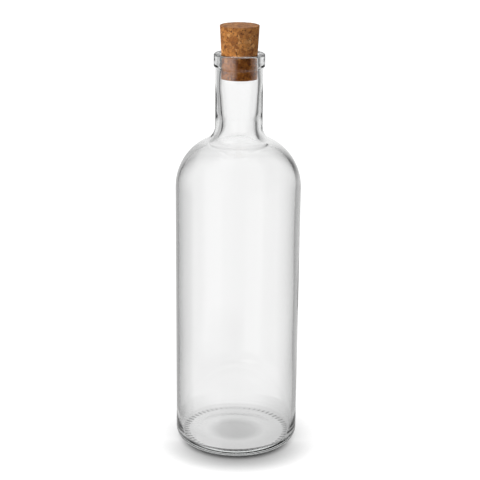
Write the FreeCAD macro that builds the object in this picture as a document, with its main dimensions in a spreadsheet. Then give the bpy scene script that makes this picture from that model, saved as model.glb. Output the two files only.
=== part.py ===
"""Corked glass bottle: a clear cylindrical bottle with a domed shoulder, a
short neck, a banded lip and a shallow push-up base, closed by a tapered cork.

Two pieces: the glass (one revolved shell with a knurled bearing ring) and the
cork stopper that sits in its mouth.  Millimetres, +Z up, origin at the centre
of the base on the surface that the bottle stands on.
"""
import FreeCAD, Part
import math
import os
import Sketcher

V = FreeCAD.Vector
doc = FreeCAD.newDocument("corked_glass_bottle")

# ---------------------------------------------------------------- dimensions
SIZES = [
    # outside of the glass
    ("body_dia", 77.5, "outside diameter of the body"),
    ("glass_height", 250.2, "standing surface to the top of the lip"),
    ("heel_radius", 7.1, "outside radius where the wall turns under"),
    ("shoulder_height", 167.5, "where the straight wall ends"),
    ("shoulder_radius", 32.7, "radius of the domed shoulder"),
    ("neck_dia", 29.0, "outside diameter of the neck"),
    ("neck_blend", 9.8, "radius between shoulder and neck"),
    ("lip_dia", 31.1, "outside diameter of the lip band"),
    ("lip_band", 7.5, "height of the lip band"),
    ("lip_step", 1.3, "height of the slope under the lip band"),
    ("lip_edge", 1.0, "rounding of the lip's outer edges"),
    # inside of the glass
    ("bore_body_dia", 72.7, "inside diameter of the body"),
    ("bore_foot_dia", 71.2, "inside diameter just above the floor"),
    ("foot_taper_top", 14.0, "height at which the wall reaches its thin gauge"),
    ("floor_height", 5.2, "top of the floor at its edge"),
    ("floor_rise", 0.6, "how far the floor's middle stands above its edge"),
    ("floor_corner", 1.8, "radius between floor and wall inside"),
    ("throat_dia", 19.2, "narrowest bore, at the neck's root"),
    ("throat_height", 206.4, "height of the throat"),
    ("throat_flare", 13.5, "radius of the bore below the throat"),
    ("throat_lead", 36.0, "radius of the bore above the throat"),
    ("throat_turn", 9.0, "angle through which the bore opens above the throat"),
    ("bore_ease", 40.0, "radius that eases the opening into the bore"),
    ("bore_dia", 23.7, "widest bore of the neck"),
    ("bore_height", 231.5, "height of the widest bore"),
    ("bore_crown", 60.0, "radius round the widest bore"),
    ("seat_height", 241.0, "lower end of the cork's seat"),
    ("seat_ease", 14.0, "radius at the lower end of the seat"),
    ("seat_slope", 0.010, "growth of the radius per millimetre of height, in the seat"),
    ("grip_height", 245.0, "upper end of the seat, above which the mouth opens"),
    ("grip_ease", 12.0, "radius at the upper end of the seat"),
    ("mouth_dia", 23.0, "diameter of the mouth at the top of the lip"),
    ("mouth_edge", 0.8, "rounding of the mouth's inner edge"),
    # underside
    ("bearing_inner_dia", 56.4, "inner edge of the flat bearing ring"),
    ("push_up", 1.4, "height of the hollow under the base"),
    ("knurl_count", 60, "number of knurl grooves on the bearing ring"),
    ("knurl_radius", 0.7, "radius of a knurl groove"),
    ("knurl_sink", 0.2, "how far a groove's centre lies below the bearing plane"),
    ("knurl_inner", 31.0, "radius at which a groove starts"),
    ("knurl_length", 4.4, "length of a groove"),
    # cork
    ("cork_length", 32.0, "length of the stopper"),
    ("cork_waist_dia", 22.1, "diameter of the stopper level with the top of the lip"),
    ("cork_flare", 0.057, "growth of the radius per millimetre of height, above the lip"),
    ("cork_out", 17.1, "how far the stopper stands out of the mouth"),
    ("cork_edge_top", 0.7, "rounding of the stopper's upper edge"),
    ("cork_edge_foot", 0.5, "rounding of the stopper's lower edge"),
]

sheet = doc.addObject("Spreadsheet::Sheet", "Sizes")
for row, (alias, value, note) in enumerate(SIZES, start=1):
    sheet.set("A%d" % row, alias)
    sheet.set("B%d" % row, repr(value))
    sheet.set("C%d" % row, note)
    sheet.setAlias("B%d" % row, alias)
doc.recompute()


def size(alias):
    return float(getattr(sheet, alias))


# ------------------------------------------------------------------- helpers
def origin_plane(body, role):
    for feature in body.Origin.OriginFeatures:
        if feature.Role == role:
            return feature
    raise RuntimeError("no origin plane " + role)


class Outline:
    """A sketch drawn as one chain of lines and arcs whose corners, radii and
    centres are constrained and bound to the Sizes sheet."""

    def __init__(self, body, name, plane="XZ_Plane", offset=None):
        self.sketch = body.newObject("Sketcher::SketchObject", name)
        self.sketch.AttachmentSupport = [(origin_plane(body, plane), "")]
        self.sketch.MapMode = "FlatFace"
        if offset is not None:
            self.sketch.AttachmentOffset = offset
        self.chain = []

    def line(self, p, q):
        g = self.sketch.addGeometry(Part.LineSegment(V(p[0], p[1], 0), V(q[0], q[1], 0)), False)
        self.chain.append((g, 1, 2))
        return g

    def arc(self, centre, radius, a0, a1):
        """Arc from angle a0 to a1 in degrees, in the direction of the chain."""
        circle = Part.Circle(V(centre[0], centre[1], 0), V(0, 0, 1), radius)
        low, high = sorted((a0, a1))
        g = self.sketch.addGeometry(
            Part.ArcOfCircle(circle, math.radians(low), math.radians(high)), False)
        self.chain.append((g, 1, 2) if a1 > a0 else (g, 2, 1))
        return g

    def rule(self, *args):
        return self.sketch.addConstraint(Sketcher.Constraint(*args))

    def drive(self, expression, *args):
        """Add a dimension and bind it to an expression of the sheet."""
        index = self.rule(*args)
        self.sketch.setExpression("Constraints[%d]" % index, expression)
        return index

    def join(self, smooth=()):
        """Close the chain; joints listed in smooth are tangent."""
        n = len(self.chain)
        for i in range(n):
            g, _, end = self.chain[i]
            h, start, _ = self.chain[(i + 1) % n]
            self.rule("Tangent" if i in smooth else "Coincident", g, end, h, start)

    def at(self, g, pos, x=None, y=None):
        """Place a point of the sketch: x and y are sheet expressions."""
        point = self.sketch.getPoint(g, pos)
        if x == "0":
            self.rule("PointOnObject", g, pos, -2)
        elif x:
            self.drive(x, "DistanceX", -1, 1, g, pos, point.x)
        if y == "0":
            self.rule("PointOnObject", g, pos, -1)
        elif y:
            self.drive(y, "DistanceY", -1, 1, g, pos, point.y)

    def corner(self, g, h, point, x, y):
        """A construction point where two elements would meet if not rounded."""
        p = self.sketch.addGeometry(Part.Point(V(point[0], point[1], 0)), True)
        self.rule("PointOnObject", p, 1, g)
        self.rule("PointOnObject", p, 1, h)
        self.drive(x, "DistanceX", -1, 1, p, 1, point[0])
        self.drive(y, "DistanceY", -1, 1, p, 1, point[1])
        return p


def rounded(a, b, c, radius):
    """Tangent arc at corner b of the path a-b-c: centre, ends and angles."""
    ab = V(a[0] - b[0], a[1] - b[1], 0).normalize()
    cb = V(c[0] - b[0], c[1] - b[1], 0).normalize()
    half = ab.getAngle(cb) / 2
    reach = radius / math.tan(half)
    start, end = V(b[0], b[1], 0) + ab * reach, V(b[0], b[1], 0) + cb * reach
    centre = V(b[0], b[1], 0) + (ab + cb).normalize() * (radius / math.sin(half))
    a0 = math.degrees(math.atan2(start.y - centre.y, start.x - centre.x))
    a1 = math.degrees(math.atan2(end.y - centre.y, end.x - centre.x))
    while a1 - a0 > 180:
        a1 -= 360
    while a1 - a0 < -180:
        a1 += 360
    return (centre.x, centre.y), (start.x, start.y), (end.x, end.y), a0, a1


def circle_edges(shape, radius, height):
    """Names of the circular edges of a radius at a height about the axis."""
    names = []
    for i, edge in enumerate(shape.Edges, start=1):
        if edge.Degenerated:
            continue
        curve = edge.Curve
        if isinstance(curve, Part.Circle) and abs(curve.Radius - radius) < 0.02 \
                and abs(curve.Center.z - height) < 0.02 \
                and math.hypot(curve.Center.x, curve.Center.y) < 0.01:
            names.append("Edge%d" % i)
    if not names:
        raise RuntimeError("no edge of radius %.2f at height %.2f" % (radius, height))
    return names


def revolve(body, kind, name, sketch):
    feature = body.newObject("PartDesign::" + kind, name)
    feature.Profile = (sketch, [""])
    feature.ReferenceAxis = (sketch, ["V_Axis"])
    feature.Angle = 360.0
    sketch.Visibility = False
    return feature


def fillet(body, name, base, edges, alias):
    feature = body.newObject("PartDesign::Fillet", name)
    feature.Base = (base, edges)
    feature.setExpression("Radius", "Sizes." + alias)
    doc.recompute()
    return feature


def removed(before, body, least):
    """The cut took away at least this many cubic millimetres."""
    gone = before - body.Shape.Volume
    if gone < least:
        raise RuntimeError("%s: a cut removed only %.3f mm3" % (body.Label, gone))
    return gone


# --------------------------------------------------------------------- glass
glass = doc.addObject("PartDesign::Body", "GlassBottle")
glass.Label = "glass_bottle"

R = size("body_dia") / 2
H = size("glass_height")
neck = size("neck_dia") / 2
lip = size("lip_dia") / 2
dome = size("shoulder_radius")
blend = size("neck_blend")
z_dome = size("shoulder_height")
z_band = H - size("lip_band")
z_step = z_band - size("lip_step")

# Outside: flat foot, wall, domed shoulder, blend, neck, slope, lip band, top.
reach = math.degrees(math.acos((neck + blend - (R - dome)) / (dome + blend)))
z_blend = z_dome + (dome + blend) * math.sin(math.radians(reach))
turn = (R - dome + dome * math.cos(math.radians(reach)),
        z_dome + dome * math.sin(math.radians(reach)))
out = Outline(glass, "OutsideOutline")
g_foot = out.line((0, 0), (R, 0))
g_wall = out.line((R, 0), (R, z_dome))
g_dome = out.arc((R - dome, z_dome), dome, 0, reach)
g_blend = out.arc((neck + blend, z_blend), blend, 180 + reach, 180)
g_neck = out.line((neck, z_blend), (neck, z_step))
g_slope = out.line((neck, z_step), (lip, z_band))
g_band = out.line((lip, z_band), (lip, H))
g_top = out.line((lip, H), (0, H))
g_axis = out.line((0, H), (0, 0))
out.join(smooth=(1, 2, 3))
out.rule("Coincident", g_foot, 1, -1, 1)
out.rule("Horizontal", g_foot)
out.rule("Vertical", g_wall)
out.rule("Vertical", g_neck)
out.rule("Vertical", g_band)
out.rule("Horizontal", g_top)
out.rule("Vertical", g_axis)
out.at(g_foot, 2, x="Sizes.body_dia / 2")
out.drive("Sizes.shoulder_radius", "Radius", g_dome, dome)
out.at(g_wall, 2, y="Sizes.shoulder_height")
out.drive("Sizes.neck_blend", "Radius", g_blend, blend)
out.at(g_neck, 2, x="Sizes.neck_dia / 2",
       y="Sizes.glass_height - Sizes.lip_band - Sizes.lip_step")
out.at(g_slope, 2, x="Sizes.lip_dia / 2", y="Sizes.glass_height - Sizes.lip_band")
out.at(g_top, 2, y="Sizes.glass_height")

blank = revolve(glass, "Revolution", "Blank", out.sketch)
doc.recompute()
lip_round = fillet(glass, "LipRounding", blank,
                   circle_edges(glass.Shape, lip, H) + circle_edges(glass.Shape, lip, z_band),
                   "lip_edge")
heel = fillet(glass, "HeelRounding", lip_round, circle_edges(glass.Shape, R, 0), "heel_radius")

# Inside: floor, foot of the wall, wall, shoulder, throat, bore, cork seat, mouth.
r_in = size("bore_body_dia") / 2
r_foot = size("bore_foot_dia") / 2
z_foot = size("foot_taper_top")
z_floor = size("floor_height")
rise = size("floor_rise")
corner = size("floor_corner")
throat = size("throat_dia") / 2
z_throat = size("throat_height")
flare = size("throat_flare")
lead = size("throat_lead")
lead_turn = math.radians(size("throat_turn"))
ease = size("bore_ease")
bore = size("bore_dia") / 2
z_bore = size("bore_height")
z_seat = size("seat_height")
z_grip = size("grip_height")
slope = size("seat_slope")
waist = size("cork_waist_dia") / 2
mouth = size("mouth_dia") / 2
over = 1.0                                     # the cutter stands out of the mouth


def seat_radius(z):
    """Radius of the stopper, and so of its seat, at a height up to the lip's top."""
    return waist - slope * (H - z)


def seat_rule(height):
    """The same as an expression of the sheet."""
    return "(Sizes.cork_waist_dia / 2 - Sizes.seat_slope * (Sizes.glass_height - %s))" % height


# The floor is a shallow spherical cap whose circle runs through the corner.
cap = (r_foot ** 2 + rise ** 2) / (2 * rise)
cap_centre = (0.0, z_floor + rise - cap)
corner_point = (r_foot, z_floor)
# Corner arc between that circle and the sloping foot of the wall.
foot_dir = V(r_in - r_foot, z_foot - z_floor, 0).normalize()
normal = V(-foot_dir.y, foot_dir.x, 0)          # towards the axis
base_pt = V(r_foot, z_floor, 0) + normal * corner
to_cap = base_pt - V(cap_centre[0], cap_centre[1], 0)
b_half = to_cap.dot(foot_dir)
along = -b_half + math.sqrt(b_half ** 2 - (to_cap.dot(to_cap) - (cap + corner) ** 2))
c_corner = base_pt + foot_dir * along
k = V(c_corner.x - cap_centre[0], c_corner.y - cap_centre[1], 0)
touch_cap = V(cap_centre[0], cap_centre[1], 0) + k.normalize() * cap
touch_foot = c_corner - normal * corner
a_cap = math.degrees(math.atan2(touch_cap.y - cap_centre[1], touch_cap.x - cap_centre[0]))
a_c0 = math.degrees(math.atan2(touch_cap.y - c_corner.y, touch_cap.x - c_corner.x))
a_c1 = math.degrees(math.atan2(touch_foot.y - c_corner.y, touch_foot.x - c_corner.x))

# Inner shoulder: centred at the outer one's height, tangent to wall and flare.
dx0 = throat + flare - r_in
dz = z_throat - z_dome
r_dome = (dx0 ** 2 + dz ** 2 - flare ** 2) / (2 * (flare - dx0))
c_dome = (r_in - r_dome, z_dome)
a_dome = math.degrees(math.atan2(dz, throat + flare - c_dome[0]))
# Bore above the throat: opens by lead_turn, then eases into a straight taper.
open_pt = (throat + lead * (1 - math.cos(lead_turn)), z_throat + lead * math.sin(lead_turn))
c_ease = (open_pt[0] - ease * math.cos(lead_turn), open_pt[1] + ease * math.sin(lead_turn))


def ease_end():
    """Where the easing arc is tangent to the straight line to the widest bore."""
    px, py = bore - c_ease[0], z_bore - c_ease[1]
    dist = math.hypot(px, py)
    ang = math.atan2(py, px) - math.acos(ease / dist)
    return ang, (c_ease[0] + ease * math.cos(ang), c_ease[1] + ease * math.sin(ang))


a_ease, ease_pt = ease_end()
crown = rounded(ease_pt, (bore, z_bore), (seat_radius(z_seat), z_seat), size("bore_crown"))
seat = rounded((bore, z_bore), (seat_radius(z_seat), z_seat),
               (seat_radius(z_grip), z_grip), size("seat_ease"))
opening = (mouth - seat_radius(z_grip)) / (H - z_grip)
r_over = mouth + opening * over
grip = rounded((seat_radius(z_seat), z_seat), (seat_radius(z_grip), z_grip),
               (r_over, H + over), size("grip_ease"))

hol = Outline(glass, "InsideOutline")
h_floor = hol.arc(cap_centre, cap, 90, a_cap)
h_corner = hol.arc((c_corner.x, c_corner.y), corner, a_c0, a_c1)
h_foot = hol.line((touch_foot.x, touch_foot.y), (r_in, z_foot))
h_wall = hol.line((r_in, z_foot), (r_in, z_dome))
h_dome = hol.arc(c_dome, r_dome, 0, a_dome)
h_flare = hol.arc((throat + flare, z_throat), flare, 180 + a_dome, 180)
h_lead = hol.arc((throat + lead, z_throat), lead, 180, 180 - math.degrees(lead_turn))
h_ease = hol.arc(c_ease, ease, -math.degrees(lead_turn), math.degrees(a_ease))
h_taper = hol.line(ease_pt, crown[1])
h_crown = hol.arc(crown[0], size("bore_crown"), crown[3], crown[4])
h_nip = hol.line(crown[2], seat[1])
h_seat_arc = hol.arc(seat[0], size("seat_ease"), seat[3], seat[4])
h_seat = hol.line(seat[2], grip[1])
h_grip = hol.arc(grip[0], size("grip_ease"), grip[3], grip[4])
h_mouth = hol.line(grip[2], (r_over, H + over))
h_lid = hol.line((r_over, H + over), (0, H + over))
h_axis = hol.line((0, H + over), (0, z_floor + rise))
hol.join(smooth=(0, 1, 3, 4, 5, 6, 7, 8, 9, 10, 11, 12, 13))
hol.rule("PointOnObject", h_floor, 3, -2)
hol.at(h_axis, 2, x="0", y="Sizes.floor_height + Sizes.floor_rise")
hol.corner(h_floor, h_foot, corner_point, "Sizes.bore_foot_dia / 2", "Sizes.floor_height")
hol.drive("Sizes.floor_corner", "Radius", h_corner, corner)
hol.at(h_foot, 2, x="Sizes.bore_body_dia / 2", y="Sizes.foot_taper_top")
hol.rule("Vertical", h_wall)
hol.at(h_wall, 2, y="Sizes.shoulder_height")
hol.drive("Sizes.throat_flare", "Radius", h_flare, flare)
hol.at(h_lead, 2, x="Sizes.throat_dia / 2", y="Sizes.throat_height")
hol.at(h_lead, 3, y="Sizes.throat_height")
hol.drive("Sizes.throat_lead", "Radius", h_lead, lead)
hol.drive("Sizes.bore_ease", "Radius", h_ease, ease)
hol.at(h_lead, 1, y="Sizes.throat_height + Sizes.throat_lead * sin(Sizes.throat_turn * 1deg)")
hol.corner(h_taper, h_nip, (bore, z_bore), "Sizes.bore_dia / 2", "Sizes.bore_height")
hol.drive("Sizes.bore_crown", "Radius", h_crown, size("bore_crown"))
hol.corner(h_nip, h_seat, (seat_radius(z_seat), z_seat),
           seat_rule("Sizes.seat_height"), "Sizes.seat_height")
hol.drive("Sizes.seat_ease", "Radius", h_seat_arc, size("seat_ease"))
hol.corner(h_seat, h_mouth, (seat_radius(z_grip), z_grip),
           seat_rule("Sizes.grip_height"), "Sizes.grip_height")
hol.drive("Sizes.grip_ease", "Radius", h_grip, size("grip_ease"))
hol.at(h_mouth, 2, x="Sizes.mouth_dia / 2 + (Sizes.mouth_dia / 2 - %s) * %r"
       " / (Sizes.glass_height - Sizes.grip_height)" % (seat_rule("Sizes.grip_height"), over),
       y="Sizes.glass_height + %r" % over)
hol.rule("Horizontal", h_lid)
hol.rule("Vertical", h_axis)

before = glass.Shape.Volume
hollow = revolve(glass, "Groove", "Hollow", hol.sketch)
doc.recompute()
inside = removed(before, glass, 600000.0)
mouth_round = fillet(glass, "MouthRounding", hollow,
                     circle_edges(glass.Shape, mouth, H), "mouth_edge")

# Underside: a shallow spherical push-up inside the flat bearing ring.
r_bear = size("bearing_inner_dia") / 2
push = size("push_up")
ball = (r_bear ** 2 + push ** 2) / (2 * push)
up = Outline(glass, "PushUpOutline")
u_dome = up.arc((0, push - ball), ball, math.degrees(math.asin((ball - push) / ball)), 90)
u_axis = up.line((0, push), (0, -1))
u_low = up.line((0, -1), (r_bear, -1))
u_side = up.line((r_bear, -1), (r_bear, 0))
up.join()
up.rule("PointOnObject", u_dome, 3, -2)
up.at(u_axis, 1, x="0", y="Sizes.push_up")
up.rule("Vertical", u_axis)
up.rule("Horizontal", u_low)
up.rule("Vertical", u_side)
up.at(u_side, 2, x="Sizes.bearing_inner_dia / 2", y="0")
up.rule("DistanceY", u_low, 2, u_side, 2, 1.0)

before = glass.Shape.Volume
push_up = revolve(glass, "Groove", "PushUp", up.sketch)
doc.recompute()
removed(before, glass, 1200.0)

# Knurl: one short radial groove across the outer part of the bearing ring,
# repeated round the axis.
notch = Outline(glass, "KnurlSection", plane="YZ_Plane",
                offset=FreeCAD.Placement(V(0, 0, size("knurl_inner")), FreeCAD.Rotation()))
notch.sketch.setExpression("AttachmentOffset.Base.z", "Sizes.knurl_inner")
n_ring = notch.sketch.addGeometry(
    Part.Circle(V(0, -size("knurl_sink"), 0), V(0, 0, 1), size("knurl_radius")), False)
notch.rule("PointOnObject", n_ring, 3, -2)
notch.drive("Sizes.knurl_sink", "DistanceY", n_ring, 3, -1, 1, size("knurl_sink"))
notch.drive("Sizes.knurl_radius", "Radius", n_ring, size("knurl_radius"))
doc.recompute()

before = glass.Shape.Volume
plain_faces = len(glass.Shape.Faces)
knurl = glass.newObject("PartDesign::Pocket", "KnurlGroove")
knurl.Profile = notch.sketch
knurl.setExpression("Length", "Sizes.knurl_length")
knurl.Reversed = True                          # outwards, away from the axis
notch.sketch.Visibility = False
doc.recompute()
removed(before, glass, 0.2)

knurls = glass.newObject("PartDesign::PolarPattern", "KnurlRing")
knurls.Originals = [knurl]
knurls.Axis = (hol.sketch, ["V_Axis"])
knurls.Angle = 360.0
knurls.setExpression("Occurrences", "Sizes.knurl_count")
glass.Tip = knurls
doc.recompute()
if len(glass.Shape.Faces) < plain_faces + size("knurl_count"):
    raise RuntimeError("the knurl ring is not complete")

# ---------------------------------------------------------------------- cork
cork = doc.addObject("PartDesign::Body", "CorkStopper")
cork.Label = "cork_stopper"

z_top = H + size("cork_out")
z_low = z_top - size("cork_length")
r_low, r_top = seat_radius(z_low), waist + size("cork_flare") * size("cork_out")
plug = Outline(cork, "CorkOutline")
k_foot = plug.line((0, z_low), (r_low, z_low))
k_side = plug.line((r_low, z_low), (waist, H))
k_head = plug.line((waist, H), (r_top, z_top))
k_top = plug.line((r_top, z_top), (0, z_top))
k_axis = plug.line((0, z_top), (0, z_low))
plug.join()
plug.rule("Horizontal", k_foot)
plug.rule("Horizontal", k_top)
plug.rule("Vertical", k_axis)
plug.at(k_foot, 1, x="0", y="Sizes.glass_height + Sizes.cork_out - Sizes.cork_length")
plug.at(k_side, 1, x="Sizes.cork_waist_dia / 2 - Sizes.seat_slope * (Sizes.cork_length - Sizes.cork_out)")
plug.at(k_side, 2, x="Sizes.cork_waist_dia / 2", y="Sizes.glass_height")
plug.at(k_head, 2, x="Sizes.cork_waist_dia / 2 + Sizes.cork_flare * Sizes.cork_out",
        y="Sizes.glass_height + Sizes.cork_out")

turned = revolve(cork, "Revolution", "TurnedCork", plug.sketch)
doc.recompute()
top_round = fillet(cork, "TopEdge", turned,
                   circle_edges(cork.Shape, r_top, z_top), "cork_edge_top")
foot_round = fillet(cork, "FootEdge", top_round,
                    circle_edges(cork.Shape, r_low, z_low), "cork_edge_foot")
doc.recompute()

# ------------------------------------------------------- checks and export
for obj in doc.Objects:
    if "Invalid" in obj.State or "Error" in obj.State:
        raise RuntimeError("%s failed: %s" % (obj.Name, obj.State))
for sketch in doc.findObjects("Sketcher::SketchObject"):
    print("%s: solver %d, fully constrained %s"
          % (sketch.Name, sketch.solve(), sketch.FullyConstrained))

bodies = [glass, cork]
for body in bodies:
    shape = body.Shape
    if shape.isNull() or not shape.isValid() or len(shape.Solids) != 1:
        raise RuntimeError(body.Label + " is not one valid solid")
    print("%s: %.1f cm3, box %s" % (body.Label, shape.Volume / 1000, shape.BoundBox))
print("hollow to the brim: %.1f cm3" % (inside / 1000))
print("overlap of cork and glass: %.4f mm3" % glass.Shape.common(cork.Shape).Volume)

os.makedirs("parts", exist_ok=True)
for body in bodies:
    body.Shape.exportStep(os.path.join("parts", body.Label + ".step"))
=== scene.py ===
"""Corked clear glass bottle: looks, floor, light and camera."""
import math

import bpy
from mathutils import Matrix, Vector, noise


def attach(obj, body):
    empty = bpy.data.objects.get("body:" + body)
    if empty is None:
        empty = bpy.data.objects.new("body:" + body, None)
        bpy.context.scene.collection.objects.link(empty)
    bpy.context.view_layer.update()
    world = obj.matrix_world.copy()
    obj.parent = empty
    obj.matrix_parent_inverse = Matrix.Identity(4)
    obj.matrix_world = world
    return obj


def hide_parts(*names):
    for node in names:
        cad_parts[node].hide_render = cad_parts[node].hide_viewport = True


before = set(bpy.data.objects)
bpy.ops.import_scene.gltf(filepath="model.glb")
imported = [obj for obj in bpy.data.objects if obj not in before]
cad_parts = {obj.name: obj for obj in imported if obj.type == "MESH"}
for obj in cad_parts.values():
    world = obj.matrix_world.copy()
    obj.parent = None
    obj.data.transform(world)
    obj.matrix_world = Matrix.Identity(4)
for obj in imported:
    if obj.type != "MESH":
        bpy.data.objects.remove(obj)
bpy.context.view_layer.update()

MM = 0.001

# --------------------------------------------------------------- small helpers


def arc(cx, cy, r, a0, a1, step):
    """Points of an arc in degrees, both ends included."""
    n = max(2, int(math.ceil(abs(a1 - a0) / step)))
    return [(cx + r * math.cos(math.radians(a0 + (a1 - a0) * i / n)),
             cy + r * math.sin(math.radians(a0 + (a1 - a0) * i / n))) for i in range(n + 1)]


def run(p, q, step, ease=0.12):
    """Points of a straight run, with a close pair at each end to hold the shading."""
    length = math.hypot(q[0] - p[0], q[1] - p[1])
    at = [0.0]
    if length > 6 * ease:
        n = max(1, int(math.ceil((length - 2 * ease) / step)))
        at += [ease + (length - 2 * ease) * i / n for i in range(n + 1)]
    at.append(length)
    return [(p[0] + (q[0] - p[0]) * t / length, p[1] + (q[1] - p[1]) * t / length) for t in at]


def joined(*parts):
    out = []
    for part in parts:
        for p in part:
            if not out or math.hypot(p[0] - out[-1][0], p[1] - out[-1][1]) > 1e-4:
                out.append(p)
    return out


def rounded(a, b, c, radius, step):
    """Points of the tangent arc at corner b of the path a-b-c."""
    ux, uy = a[0] - b[0], a[1] - b[1]
    vx, vy = c[0] - b[0], c[1] - b[1]
    lu, lv = math.hypot(ux, uy), math.hypot(vx, vy)
    ux, uy, vx, vy = ux / lu, uy / lu, vx / lv, vy / lv
    half = math.acos(max(-1, min(1, ux * vx + uy * vy))) / 2
    reach = radius / math.tan(half)
    wx, wy = ux + vx, uy + vy
    lw = math.hypot(wx, wy)
    cx, cy = b[0] + wx / lw * radius / math.sin(half), b[1] + wy / lw * radius / math.sin(half)
    a0 = math.degrees(math.atan2(b[1] + uy * reach - cy, b[0] + ux * reach - cx))
    a1 = math.degrees(math.atan2(b[1] + vy * reach - cy, b[0] + vx * reach - cx))
    while a1 - a0 > 180:
        a1 -= 360
    while a1 - a0 < -180:
        a1 += 360
    return arc(cx, cy, radius, a0, a1, step)


def smooth(t):
    t = max(0.0, min(1.0, t))
    return t * t * (3 - 2 * t)


def ramp_at(x, table):
    """Smooth interpolation of a short table of (x, value)."""
    if x <= table[0][0]:
        return table[0][1]
    for (x0, v0), (x1, v1) in zip(table, table[1:]):
        if x <= x1:
            return v0 + (v1 - v0) * smooth((x - x0) / (x1 - x0))
    return table[-1][1]


def mesh_object(name, verts, faces):
    me = bpy.data.meshes.new(name)
    me.from_pydata(verts, [], faces)
    me.polygons.foreach_set("use_smooth", [True] * len(me.polygons))
    me.validate()
    me.update()
    ob = bpy.data.objects.new(name, me)
    bpy.context.scene.collection.objects.link(ob)
    return ob


# ------------------------------------------------------------- bottle, in mm
R, H = 38.75, 250.2
HEEL = 7.1
DOME, Z_DOME = 32.7, 167.5
NECK, BLEND = 14.5, 9.8
LIP, BAND, STEP, EDGE = 15.55, 7.5, 1.3, 1.0
BEAR, PUSH = 28.2, 1.4
RI, R_FOOT, Z_FOOT, Z_FLOOR, RISE, CORNER = 36.35, 35.6, 14.0, 5.2, 0.6, 1.8
THROAT, Z_THROAT, FLARE, LEAD, TURN, EASE = 9.6, 206.4, 13.5, 36.0, 9.0, 40.0
BORE, Z_BORE, CROWN, Z_SEAT, SEAT_EASE = 11.85, 231.5, 60.0, 241.0, 14.0
MOUTH, Z_GRIP, MOUTH_EDGE = 11.5, 245.0, 0.8
CORK_R, SEAT_SLOPE, CORK_FLARE = 11.05, 0.010, 0.057


def cone(z):
    """Radius of the stopper, and of the seat that grips it, at a height."""
    return CORK_R + (z - H) * (CORK_FLARE if z > H else SEAT_SLOPE)


def outer_profile():
    """Underside centre to the top of the lip."""
    ball = (BEAR ** 2 + PUSH ** 2) / (2 * PUSH)
    edge = math.degrees(math.asin((ball - PUSH) / ball))
    under = arc(0, PUSH - ball, ball, 90, edge, 0.75)
    ring = run((BEAR, 0), (R - HEEL, 0), 0.4, 0.05)
    heel = arc(R - HEEL, HEEL, HEEL, -90, 0, 3.0)
    wall = run((R, HEEL), (R, Z_DOME), 7.0)
    reach = math.degrees(math.acos((NECK + BLEND - (R - DOME)) / (DOME + BLEND)))
    z_blend = Z_DOME + (DOME + BLEND) * math.sin(math.radians(reach))
    dome = arc(R - DOME, Z_DOME, DOME, 0, reach, 1.6)
    blend = arc(NECK + BLEND, z_blend, BLEND, 180 + reach, 180, 2.5)
    z_band, z_step = H - BAND, H - BAND - STEP
    neck = run((NECK, z_blend), (NECK, z_step - 0.5), 4.0)
    toe = rounded((NECK, z_blend), (NECK, z_step), (LIP, z_band), 0.8, 8.0)
    low = rounded((NECK, z_step), (LIP, z_band), (LIP, H), EDGE, 8.0)
    band = run(low[-1], (LIP, H - EDGE), 2.0, 0.08)
    top = arc(LIP - EDGE, H - EDGE, EDGE, 0, 90, 9.0)
    return joined(under, ring, heel, wall, dome, blend, neck, toe, low, band, top)


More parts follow.
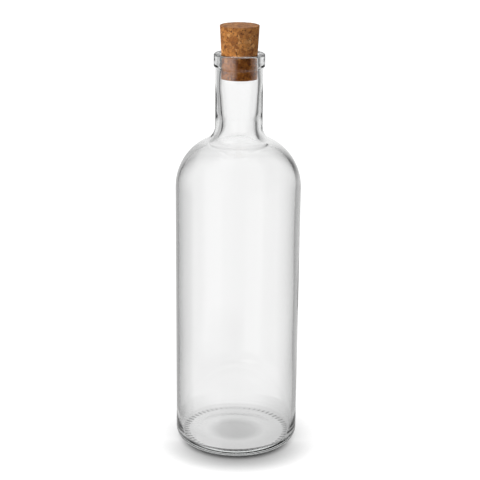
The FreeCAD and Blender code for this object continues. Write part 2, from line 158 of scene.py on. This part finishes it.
def inner_profile():
    """Top of the lip down to the middle of the floor."""
    r_top = LIP - EDGE
    r_edge = MOUTH + MOUTH_EDGE
    top = run((r_top, H), (r_edge, H), 1.0, 0.06)
    mouth = arc(r_edge, H - MOUTH_EDGE, MOUTH_EDGE, 90, 178, 9.0)
    grip, seat_end = (cone(Z_GRIP), Z_GRIP), (cone(Z_SEAT), Z_SEAT)
    grip_arc = rounded(mouth[-1], grip, seat_end, 12.0, 1.0)
    seat_arc = rounded(grip, seat_end, (BORE, Z_BORE), SEAT_EASE, 1.2)
    seat = joined(run(mouth[-1], grip_arc[0], 1.5, 0.1), grip_arc,
                  run(grip_arc[-1], seat_arc[0], 1.5, 0.1))
    dx0, dz = THROAT + FLARE - RI, Z_THROAT - Z_DOME
    r_dome = (dx0 ** 2 + dz ** 2 - FLARE ** 2) / (2 * (FLARE - dx0))
    c_dome = RI - r_dome
    a_dome = math.degrees(math.atan2(dz, THROAT + FLARE - c_dome))
    t = math.radians(TURN)
    open_pt = (THROAT + LEAD * (1 - math.cos(t)), Z_THROAT + LEAD * math.sin(t))
    c_ease = (open_pt[0] - EASE * math.cos(t), open_pt[1] + EASE * math.sin(t))
    px, py = BORE - c_ease[0], Z_BORE - c_ease[1]
    a_ease = math.degrees(math.atan2(py, px) - math.acos(EASE / math.hypot(px, py)))
    ease = arc(c_ease[0], c_ease[1], EASE, a_ease, -TURN, 1.0)
    crown = rounded(seat_end, (BORE, Z_BORE), ease[0], CROWN, 0.6)
    nip = run(seat_arc[-1], crown[0], 1.5, 0.1)
    taper = run(crown[-1], ease[0], 1.5, 0.1)
    lead = arc(THROAT + LEAD, Z_THROAT, LEAD, 180 - TURN, 180, 1.2)
    flare = arc(THROAT + FLARE, Z_THROAT, FLARE, 180, 180 + a_dome, 2.5)
    dome = arc(c_dome, Z_DOME, r_dome, a_dome, 0, 1.6)
    wall = run((RI, Z_DOME), (RI, Z_FOOT + 6), 7.0)
    cap = (R_FOOT ** 2 + RISE ** 2) / (2 * RISE)
    foot_turn = rounded((RI, Z_DOME), (RI, Z_FOOT), (R_FOOT, Z_FLOOR), 90.0, 0.6)
    foot_arc = rounded(foot_turn[-1], (R_FOOT, Z_FLOOR), (R_FOOT - 8, Z_FLOOR + 0.35), CORNER, 6.0)
    foot = run(foot_turn[-1], foot_arc[0], 3.0)
    r_end, z_end = foot_arc[-1]
    top_z = Z_FLOOR + RISE
    floor = [(r, top_z - (top_z - z_end) * (r / r_end) ** 2)
             for r in [r_end * (1 - i / 16) for i in range(17)]]
    return joined(top, mouth, seat, seat_arc, nip, crown, taper, ease, lead, flare, dome,
                  wall, foot_turn, foot, foot_arc, floor)


# The bore doesn't run quite true inside the outer form, as in blown glass: the
# shift along X of the inner surface, in mm, by height.
DRIFT = [(0, -0.35), (60, -0.5), (160, -0.45), (190, -0.3), (198, -0.35), (206.4, 0.0),
         (218, 0.0), (229, -0.1), (236, 0.0), (260, 0.0)]
SEG, FINE = 216, 432
KNURLS = 60


def wave(phi, z, inner):
    """Slight unevenness of a blown surface, in mm."""
    if inner:
        v = (0.060 * math.sin(2 * phi + 0.031 * z + 0.7) + 0.045 * math.sin(3 * phi - 0.022 * z + 2.1)
             + 0.022 * math.sin(5 * phi + 0.05 * z + 4.0) + 0.016 * math.sin(7 * phi - 0.09 * z))
        lobe = max(0.0, math.cos(phi - math.radians(185))) ** 3      # a thicker spot at the throat
        v += lobe * (0.15 * math.exp(-((z - 199.0) / 4.0) ** 2) - 0.12 * math.exp(-((z - 207.0) / 3.4) ** 2))
        return v * smooth((236 - z) / 20)
    return -0.012 * (1 + math.sin(2 * phi + 0.017 * z + 1.2)) - 0.006 * (1 + math.sin(4 * phi - 0.03 * z))


def knurl(phi, r):
    """Depth of the bearing ring's knurl grooves, in mm."""
    w = smooth((r - 30.8) / 0.6) * smooth((35.3 - r) / 0.8)
    c = max(0.0, math.cos(KNURLS * phi))
    return 0.50 * w * c ** 1.2


def build_glass():
    verts, faces = [], []
    outer, inner = outer_profile(), inner_profile()
    rows = [(r, z, False) for r, z in outer] + [(r, z, True) for r, z in inner if (r, z) != outer[-1]]
    rings = []
    for r, z, is_in in rows:
        if r < 1e-6:
            rings.append([len(verts)])
            dx = ramp_at(z, DRIFT) if is_in else 0.0
            verts.append((dx * MM, 0.0, z * MM))
            continue
        fine = (not is_in) and z < 1.6 and 28.0 < r < 35.6
        n = FINE if fine else SEG
        ring = []
        for i in range(n):
            phi = 2 * math.pi * i / n
            rr = r + wave(phi, z, is_in) * (1.0 if z > 3 or is_in else 0.0)
            zz = z
            if fine:
                zz += knurl(phi, r)
            dx = ramp_at(z, DRIFT) if is_in else 0.0
            ring.append(len(verts))
            verts.append(((rr * math.cos(phi) + dx) * MM, rr * math.sin(phi) * MM, zz * MM))
        rings.append(ring)
    for a, b in zip(rings, rings[1:]):
        na, nb = len(a), len(b)
        if na == 1:
            faces += [(a[0], b[(i + 1) % nb], b[i]) for i in range(nb)]
        elif nb == 1:
            faces += [(a[i], a[(i + 1) % na], b[0]) for i in range(na)]
        elif na == nb:
            faces += [(a[i], a[(i + 1) % na], b[(i + 1) % nb], b[i]) for i in range(na)]
        elif nb == 2 * na:
            for i in range(na):
                j = (i + 1) % na
                m, k = 2 * i + 1, (2 * i + 2) % nb
                faces += [(a[i], b[m], b[2 * i]), (a[i], a[j], b[m]), (a[j], b[k], b[m])]
        else:
            for i in range(nb):
                j = (i + 1) % nb
                m, k = 2 * i + 1, (2 * i + 2) % na
                faces += [(a[2 * i], a[m], b[i]), (a[m], b[j], b[i]), (a[m], a[k], b[j])]
    return mesh_object("glass_shell", verts, faces)


glass = build_glass()
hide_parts("glass_bottle")
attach(glass, "root")

# ----------------------------------------------------------------- cork, in mm
Z_CORK0, Z_CORK1 = 235.3, 267.3


def build_cork():
    """Tapered stopper with the relief of pressed granules: pits, seams, chips."""
    seg, gap = 240, 0.05
    prof = []
    r0, r1 = cone(Z_CORK0), cone(Z_CORK1)
    prof += [(r0 * i / 14, Z_CORK0) for i in range(14)]
    prof += arc(r0 - 0.5, Z_CORK0 + 0.5, 0.5, -90, 0, 22)
    n = 84
    prof += [(cone(z), z) for z in [Z_CORK0 + 0.65 + (Z_CORK1 - Z_CORK0 - 1.4) * i / n
                                    for i in range(n + 1)]]
    prof += arc(r1 - 0.6, Z_CORK1 - 0.6, 0.6, 0, 90, 22)
    prof += [(r1 * (1 - i / 40), Z_CORK1) for i in range(3, 41)]
    verts, faces, rings = [], [], []
    prof = joined(prof)
    for k, (r, z) in enumerate(prof):
        pr, pz = prof[max(0, k - 1)]
        nr, nz = prof[min(len(prof) - 1, k + 1)]
        tr, tz = nr - pr, nz - pz
        tl = math.hypot(tr, tz) or 1.0
        nx, nzv = tz / tl, -tr / tl                      # outward normal of the profile
        if k == 0:
            nx, nzv = 0.0, -1.0
        if k == len(prof) - 1:
            nx, nzv = 0.0, 1.0
        ring = []
        for i in range(seg if r > 1e-6 else 1):
            phi = 2 * math.pi * i / seg
            p = Vector((r * math.cos(phi), r * math.sin(phi), z))
            d = relief(p)
            off = -gap - d
            verts.append(((p.x + nx * off * math.cos(phi)) * MM, (p.y + nx * off * math.sin(phi)) * MM,
                          (p.z + nzv * off) * MM))
            ring.append(len(verts) - 1)
        rings.append(ring)
    for a, b in zip(rings, rings[1:]):
        if len(a) == 1:
            faces += [(a[0], b[(i + 1) % seg], b[i]) for i in range(seg)]
        elif len(b) == 1:
            faces += [(a[i], a[(i + 1) % seg], b[0]) for i in range(seg)]
        else:
            faces += [(a[i], a[(i + 1) % seg], b[(i + 1) % seg], b[i]) for i in range(seg)]
    return mesh_object("cork_body", verts, faces)


def relief(p):
    """Depth below the true form, in mm."""
    q = p / 2.1
    dist, _ = noise.voronoi(q)
    seam = max(0.0, 1 - (dist[1] - dist[0]) / 0.16)
    n1 = noise.noise(p * 0.55 + Vector((3, 7, 1)))
    n2 = noise.noise(p * 1.7 + Vector((9, 2, 5)))
    pit_d, _ = noise.voronoi(p / 1.5 + Vector((11.3, 4.1, 8.7)))
    pick = noise.noise(p * 0.9 + Vector((21, 3, 13)))
    pit = max(0.0, 1 - pit_d[0] / 0.30) * smooth((pick - 0.02) / 0.22)
    return 0.05 * seam ** 1.5 + 0.04 * (n1 + 0.5) + 0.03 * (n2 + 0.5) + 0.38 * pit


cork = build_cork()
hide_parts("cork_stopper")
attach(cork, "root")

# ------------------------------------------------------------------ materials


class Nodes:
    def __init__(self, tree):
        self.tree = tree
        tree.nodes.clear()

    def add(self, kind, **values):
        node = self.tree.nodes.new(kind)
        for key, value in values.items():
            if key in node.inputs:
                node.inputs[key].default_value = value
            else:
                setattr(node, key, value)
        return node

    def link(self, a, b):
        self.tree.links.new(a, b)


def material(name):
    m = bpy.data.materials.new(name)
    m.use_nodes = True
    return m, Nodes(m.node_tree)


def glass_material():
    m, n = material("clear_glass")
    out = n.add("ShaderNodeOutputMaterial")
    b = n.add("ShaderNodeBsdfPrincipled")
    b.inputs["Base Color"].default_value = (1.0, 1.0, 1.0, 1)
    b.inputs["Roughness"].default_value = 0.0
    b.inputs["IOR"].default_value = 1.517
    b.inputs["Transmission Weight"].default_value = 1.0
    vol = n.add("ShaderNodeVolumeAbsorption")
    vol.inputs["Color"].default_value = (0.44, 0.49, 0.475, 1)
    vol.inputs["Density"].default_value = 6.0
    n.link(b.outputs[0], out.inputs["Surface"])
    n.link(vol.outputs[0], out.inputs["Volume"])
    return m


def cork_material():
    m, n = material("pressed_cork")
    out = n.add("ShaderNodeOutputMaterial")
    b = n.add("ShaderNodeBsdfPrincipled")
    b.inputs["Roughness"].default_value = 0.86
    b.inputs["Specular IOR Level"].default_value = 0.25
    co = n.add("ShaderNodeTexCoord")
    mp = n.add("ShaderNodeMapping")
    mp.inputs["Scale"].default_value = (1000, 1000, 1000)          # work in mm
    n.link(co.outputs["Object"], mp.inputs["Vector"])

    def tex(kind, **kw):
        t = n.add(kind, **kw)
        n.link(mp.outputs[0], t.inputs["Vector"])
        return t

    def ramp(source, stops):
        r = n.add("ShaderNodeValToRGB")
        while len(r.color_ramp.elements) > 1:
            r.color_ramp.elements.remove(r.color_ramp.elements[-1])
        for i, (pos, col) in enumerate(stops):
            e = r.color_ramp.elements[0] if i == 0 else r.color_ramp.elements.new(pos)
            e.position = pos
            e.color = col if len(col) == 4 else (*col, 1)
        n.link(source, r.inputs[0])
        return r

    def mix(kind, fac, a, bb):
        x = n.add("ShaderNodeMix", data_type="RGBA", blend_type=kind)
        if isinstance(fac, float):
            x.inputs[0].default_value = fac
        else:
            n.link(fac, x.inputs[0])
        for s, v in ((x.inputs[6], a), (x.inputs[7], bb)):
            if isinstance(v, tuple):
                s.default_value = v if len(v) == 4 else (*v, 1)
            else:
                n.link(v, s)
        return x.outputs[2]

    grain = tex("ShaderNodeTexVoronoi", Scale=0.46, Randomness=1.0)
    tone = n.add("ShaderNodeSeparateColor")
    n.link(grain.outputs["Color"], tone.inputs[0])
    base = ramp(tone.outputs[0], [(0.0, (0.26, 0.085, 0.018)), (0.25, (0.52, 0.205, 0.046)),
                                  (0.6, (0.68, 0.285, 0.068)), (0.85, (0.42, 0.150, 0.032)),
                                  (1.0, (0.80, 0.40, 0.130))])
    cloud = tex("ShaderNodeTexNoise", Scale=0.16, Detail=3.0)
    cl = ramp(cloud.outputs[0], [(0.3, (0.78, 0.74, 0.70)), (0.7, (1.12, 1.10, 1.06))])
    c1 = mix("MULTIPLY", 0.75, base.outputs[0], cl.outputs[0])
    # fine cell texture inside each granule
    fine = tex("ShaderNodeTexNoise", Scale=2.2, Detail=5.0)
    fr = ramp(fine.outputs[0], [(0.32, (0.62, 0.58, 0.52)), (0.5, (1, 1, 1)), (0.72, (1.18, 1.15, 1.1))])
    c2 = mix("MULTIPLY", 0.8, c1, fr.outputs[0])
    # dark seams between granules
    edge = tex("ShaderNodeTexVoronoi", Scale=0.46, Randomness=1.0)
    edge.feature = "DISTANCE_TO_EDGE"
    er = ramp(edge.outputs["Distance"], [(0.0, (1, 1, 1)), (0.05, (0.35, 0.35, 0.35)), (0.12, (0, 0, 0))])
    er_n = mix("MULTIPLY", 1.0, er.outputs[0], (0.55, 0.55, 0.55))
    c3 = mix("MIX", er_n, c2, (0.20, 0.075, 0.022))
    # dark bark specks and pits
    speck = tex("ShaderNodeTexVoronoi", Scale=0.62, Randomness=1.0)
    sr = ramp(speck.outputs["Distance"], [(0.0, (1, 1, 1)), (0.26, (0.9, 0.9, 0.9)), (0.38, (0, 0, 0))])
    pick = tex("ShaderNodeTexNoise", Scale=0.5, Detail=2.0)
    pr = ramp(pick.outputs[0], [(0.47, (0, 0, 0)), (0.56, (1, 1, 1))])
    sm = mix("MULTIPLY", 1.0, sr.outputs[0], pr.outputs[0])
    c4 = mix("MIX", sm, c3, (0.085, 0.030, 0.010))
    # a few pale chips
    chip = tex("ShaderNodeTexVoronoi", Scale=1.1, Randomness=1.0)
    cr = ramp(chip.outputs["Distance"], [(0.0, (1, 1, 1)), (0.12, (1, 1, 1)), (0.2, (0, 0, 0))])
    pick2 = tex("ShaderNodeTexNoise", Scale=0.8, Detail=1.0)
    pr2 = ramp(pick2.outputs[0], [(0.55, (0, 0, 0)), (0.62, (0.9, 0.9, 0.9))])
    cm = mix("MULTIPLY", 1.0, cr.outputs[0], pr2.outputs[0])
    c5 = mix("MIX", cm, c4, (0.80, 0.50, 0.24))
    # the flat top face is made darker and greyer than the side
    pos = n.add("ShaderNodeSeparateXYZ")
    n.link(mp.outputs[0], pos.inputs[0])
    up = n.add("ShaderNodeMapRange")
    for key, v in (("From Min", Z_CORK1 - 0.75), ("From Max", Z_CORK1 - 0.25), ("To Min", 0.0), ("To Max", 0.75)):
        up.inputs[key].default_value = v
    n.link(pos.outputs["Z"], up.inputs["Value"])
    top_darkened = mix("MULTIPLY", 1.0, c5, (0.50, 0.52, 0.62))
    top_greyed = mix("MIX", 0.35, top_darkened, (0.22, 0.125, 0.070))
    c6 = mix("MIX", up.outputs[0], c5, top_greyed)
    # painted shade: below the lip, where it sits inside the glass neck, the stopper's colour is darkened by height
    low = n.add("ShaderNodeMapRange")
    for key, v in (("From Min", H - 1.2), ("From Max", H + 0.2), ("To Min", 1.0), ("To Max", 0.0)):
        low.inputs[key].default_value = v
    n.link(pos.outputs["Z"], low.inputs["Value"])
    c6 = mix("MULTIPLY", low.outputs[0], c6, (0.80, 0.68, 0.48))
    n.link(c6, b.inputs["Base Color"])
    bump = n.add("ShaderNodeBump")
    bump.inputs["Strength"].default_value = 0.35
    bump.inputs["Distance"].default_value = 0.0003
    hsum = mix("MIX", 0.5, fine.outputs[0], edge.outputs["Distance"])
    n.link(hsum, bump.inputs["Height"])
    n.link(bump.outputs[0], b.inputs["Normal"])
    n.link(b.outputs[0], out.inputs["Surface"])
    return m


glass.data.materials.append(glass_material())
cork.data.materials.append(cork_material())

# -------------------------------------------------------------- floor and light
# Cards and soft boxes stand in a ring close round the bottle. Only the glass
# shows them: bright behind and in front, grey to both sides, with the upright
# edges of two soft boxes. They are fixed in the room, at these brightnesses.
LOW = [  # degrees about Z from +X
    (-180, 0.27), (-168, 0.38), (-163, 0.48), (-156, 0.84), (-155, 1.04), (-135, 1.06),
    (-111.0, 1.06), (-110.5, 0.91), (-95, 0.96), (-78.5, 1.01), (-77.5, 1.11), (-60, 1.17),
    (-45, 1.23), (-35, 1.12), (-20, 0.88), (-10, 0.70), (0, 0.47), (8, 0.35), (20, 0.43),
    (32, 0.59), (50, 0.77), (62, 0.93), (80, 0.905), (95, 0.905), (110, 0.95), (118, 0.89),
    (125, 0.78), (135, 0.67), (145, 0.53), (155, 0.41), (165, 0.21), (172, 0.19), (180, 0.25)]
HIGH = [
    (-180, 0.48), (-174, 0.80), (-166, 1.05), (-150, 1.05), (-112, 1.05), (-98, 0.96), (-60, 0.96),
    (-32, 0.95), (-24, 0.92), (-14, 0.90), (4, 0.90), (11, 0.80), (18, 0.50),
    (24, 0.12), (34, 0.14), (41, 0.45), (49, 0.60), (56, 0.78), (64, 0.88), (71, 0.93), (86, 0.96),
    (101, 0.95), (116, 0.88), (122, 0.62), (131, 0.50), (139, 0.58), (146, 0.52), (151, 0.16),
    (156, 0.08), (164, 0.08), (169, 0.30), (176, 0.45), (180, 0.48)]
MOUTH_CARDS = [  # two small boxes and a dark gap, close in front of the mouth
    (-168, 1.4), (-150, 1.8), (-122, 1.9), (-111, 1.4), (-103, 0.45), (-95, 0.0), (-42, 0.0), (-28, 0.8), (-12, 1.1), (4, 0.9)]
FOOT = [
    (-180, 0.26), (-165, 0.50), (-155.5, 0.70), (-155, 1.02), (-111, 1.06), (-110.5, 0.75), (-90, 0.45), (-60, 0.75),
    (-30, 0.60), (0, 0.50), (30, 0.44), (60, 0.90), (90, 0.91), (120, 0.89), (150, 0.46), (165, 0.30), (180, 0.26)]
# The floor under and round the foot, as the glass shows it: mm from the axis, then
# the brightness in front, to the right, behind and to the left.
# Painted shade: darker in front and in a ring close round the foot, lighter behind.
BED = [(0, 0.45, 0.45, 0.45, 0.45), (12, 0.45, 0.46, 0.47, 0.47), (19, 0.66, 0.64, 0.70, 0.70),
       (31, 0.62, 0.61, 0.67, 0.67), (34, 0.32, 0.36, 0.66, 0.42), (36, 0.06, 0.50, 0.78, 0.60), (40, 0.07, 0.46, 0.82, 0.56),
       (46, 0.24, 0.45, 0.89, 0.58), (54, 0.46, 0.44, 0.91, 0.56), (65, 0.53, 0.42, 0.92, 0.54)]


def table(x, stops):
    for (x0, v0), (x1, v1) in zip(stops, stops[1:]):
        if x <= x1:
            return v0 + (v1 - v0) * (x - x0) / (x1 - x0)
    return stops[-1][1]


def bed(r, deg):
    """Brightness of the floor card, with its painted shade and light: four tables by radius, blended round the axis.
    """
    quarter = ((deg + 90) % 360) / 90.0                # 0 in front, 1 right, 2 behind, 3 left
    k = int(quarter)
    u = smooth(quarter - k)
    side_a, side_b = ([(row[0], row[1 + m % 4]) for row in BED] for m in (k, k + 1))
    glow = table(r, side_a) * (1 - u) + table(r, side_b) * u
    x, y = r * math.cos(math.radians(deg)), r * math.sin(math.radians(deg))
    if r >= 39 and y < -27 and x < -9.6 + 0.546 * (y + 37.5):       # painted pool of light from a soft box, on the floor card
        glow += max(0.0, 1.15 - glow) * (1 - smooth((r - 47) / 9))
    return glow


def studio_cards():
    n, radius, verts, faces, glow = 720, 65.0, [], [], []
    rows = [(1.0 * k, -0.02, None) for k in range(1, 66)]
    rows += [(radius, z, t) for z, t in ((0.3, FOOT), (22, FOOT), (42, LOW), (165, LOW), (185, HIGH), (420, HIGH))]
    for r, z, t in rows:
        for i in range(n):
            deg = -180 + 360 * i / n
            verts.append((r * MM * math.cos(math.radians(deg)), r * MM * math.sin(math.radians(deg)), z * MM))
            glow.append(table(deg, t) if t else bed(r, deg))
    for k in range(len(rows) - 1):
        faces += [(k * n + i, k * n + (i + 1) % n, (k + 1) * n + (i + 1) % n, (k + 1) * n + i)
                  for i in range(n)]
    faces.append(tuple(range(n)))
    card(mesh_object("studio_cards", verts, faces), glow)
    steps = [MOUTH_CARDS[0][0] + 0.5 * i for i in range(int(2 * (MOUTH_CARDS[-1][0] - MOUTH_CARDS[0][0])) + 1)]
    verts = [(0.030 * math.cos(math.radians(a)), 0.030 * math.sin(math.radians(a)), z)
             for z in (0.2325, 0.2535) for a in steps]
    n = len(steps)
    card(mesh_object("mouth_cards", verts, [(i, i + 1, n + i + 1, n + i) for i in range(n - 1)]),
         [table(a, MOUTH_CARDS) for a in steps] * 2)


def card(ob, glow):
    """Emission at these strengths, seen only in and through the glass."""
    ob.data.attributes.new("glow", "FLOAT", "POINT").data.foreach_set("value", glow)
    for kind in ("camera", "diffuse", "shadow", "volume_scatter"):
        setattr(ob, "visible_" + kind, False)
    m, n_ = material("card_light")
    out, em = n_.add("ShaderNodeOutputMaterial"), n_.add("ShaderNodeEmission")
    at = n_.add("ShaderNodeAttribute", attribute_name="glow")
    n_.link(at.outputs["Fac"], em.inputs["Strength"])
    n_.link(em.outputs[0], out.inputs["Surface"])
    ob.data.materials.append(m)


studio_cards()


def plane(name, size, z=0.0):
    s = size / 2
    return mesh_object(name, [(-s, -s, z), (s, -s, z), (s, s, z), (-s, s, z)], [(0, 1, 2, 3)])


floor = plane("floor", 24.0)
fm, fn = material("white_floor")
fo = fn.add("ShaderNodeOutputMaterial")
fd = fn.add("ShaderNodeBsdfDiffuse")                   # takes the room's light and shadows
fd.inputs["Color"].default_value = (0.14, 0.14, 0.14, 1)
fa = fn.add("ShaderNodeAmbientOcclusion", samples=24)  # painted shadow at the foot: ambient occlusion darkens the floor's glow
fa.inputs["Distance"].default_value = 0.0225
fp = fn.add("ShaderNodeMath", operation="POWER")
fc, fy = fn.add("ShaderNodeTexCoord"), fn.add("ShaderNodeSeparateXYZ")
fr = fn.add("ShaderNodeMapRange")                      # the painted shadow is deeper in front than behind, by a power that grows towards the front
for k, v in (("From Min", -0.045), ("From Max", -0.010), ("To Min", 2.4), ("To Max", 0.55)):
    fr.inputs[k].default_value = v
fn.link(fc.outputs["Object"], fy.inputs[0])
fn.link(fy.outputs["Y"], fr.inputs["Value"])
fn.link(fr.outputs[0], fp.inputs[1])
fs = fn.add("ShaderNodeMath", operation="MULTIPLY")
fs.inputs[1].default_value = 0.98
fe = fn.add("ShaderNodeEmission")
fsum = fn.add("ShaderNodeAddShader")
fl = fn.add("ShaderNodeLightPath")
fx = fn.add("ShaderNodeMixShader")                     # the white glow isn't thrown back at the cork
fn.link(fa.outputs["AO"], fp.inputs[0])
fn.link(fp.outputs[0], fs.inputs[0])
fn.link(fs.outputs[0], fe.inputs["Strength"])
fn.link(fd.outputs[0], fsum.inputs[0])
fn.link(fe.outputs[0], fsum.inputs[1])
fn.link(fl.outputs["Is Diffuse Ray"], fx.inputs[0])
fn.link(fsum.outputs[0], fx.inputs[1])
fn.link(fd.outputs[0], fx.inputs[2])
fn.link(fx.outputs[0], fo.inputs["Surface"])
floor.data.materials.append(fm)
for kind in ("glossy", "transmission"):                # the glass sees the bed instead
    setattr(floor, "visible_" + kind, False)

world = bpy.data.worlds.new("studio")
bpy.context.scene.world = world
world.use_nodes = True
w = Nodes(world.node_tree)
wo = w.add("ShaderNodeOutputWorld")
wl = w.add("ShaderNodeLightPath")
wc = w.add("ShaderNodeTexCoord")
ws = w.add("ShaderNodeSeparateXYZ")
w.link(wc.outputs["Generated"], ws.inputs[0])


def background(strength):
    b = w.add("ShaderNodeBackground")
    b.inputs["Color"].default_value = (1, 1, 1, 1)
    if isinstance(strength, (int, float)):
        b.inputs["Strength"].default_value = strength
    else:
        w.link(strength, b.inputs["Strength"])
    return b.outputs[0]


def either(fac, a, b):
    m = w.add("ShaderNodeMixShader")
    w.link(fac, m.inputs[0])
    w.link(a, m.inputs[1])
    w.link(b, m.inputs[2])
    return m.outputs[0]


def swept(source, lo, hi, v_lo, v_hi):
    r = w.add("ShaderNodeMapRange")
    r.interpolation_type = "SMOOTHSTEP"
    for k, v in (("From Min", lo), ("From Max", hi), ("To Min", v_lo), ("To Max", v_hi)):
        r.inputs[k].default_value = v
    w.link(source, r.inputs["Value"])
    return r.outputs[0]


# A broad key on the left, less from the right, and a light top.
side, top = swept(ws.outputs["X"], -1.0, 0.7, 2.1, 0.14), swept(ws.outputs["Z"], 0.1, 1.0, 0.0, 0.5)
total = w.add("ShaderNodeMath", operation="ADD")
w.link(side, total.inputs[0])
w.link(top, total.inputs[1])
lit, shown, white = background(total.outputs[0]), background(0.95), background(1.05)
w.link(either(wl.outputs["Is Camera Ray"], either(wl.outputs["Is Diffuse Ray"], shown, lit), white),
       wo.inputs["Surface"])

# --------------------------------------------------------------------- camera
D = 77.5 * MM
CAM = dict(f=1378.81, d=10.6098, h=5.0837, pitch=17.630, yaw=0.097, roll=0.564)
p, y, r = (math.radians(CAM[k]) for k in ("pitch", "yaw", "roll"))
fw = Vector((math.sin(y) * math.cos(p), math.cos(y) * math.cos(p), -math.sin(p)))
right = Vector((math.cos(y), -math.sin(y), 0))
upv = right.cross(fw)
r2 = right * math.cos(r) + upv * math.sin(r)
u2 = -right * math.sin(r) + upv * math.cos(r)
cam_data = bpy.data.cameras.new("camera")
cam = bpy.data.objects.new("camera", cam_data)
bpy.context.scene.collection.objects.link(cam)
cam_data.sensor_width = 36.0
cam_data.lens = CAM["f"] / 480 * 36.0
cam_data.clip_start, cam_data.clip_end = 0.05, 60.0
rot = Matrix((r2, u2, -fw)).transposed().to_4x4()
cam.matrix_world = Matrix.Translation(Vector((0, -CAM["d"] * D, CAM["h"] * D))) @ rot
bpy.context.scene.camera = cam
bpy.context.scene.view_settings.view_transform = "Standard"
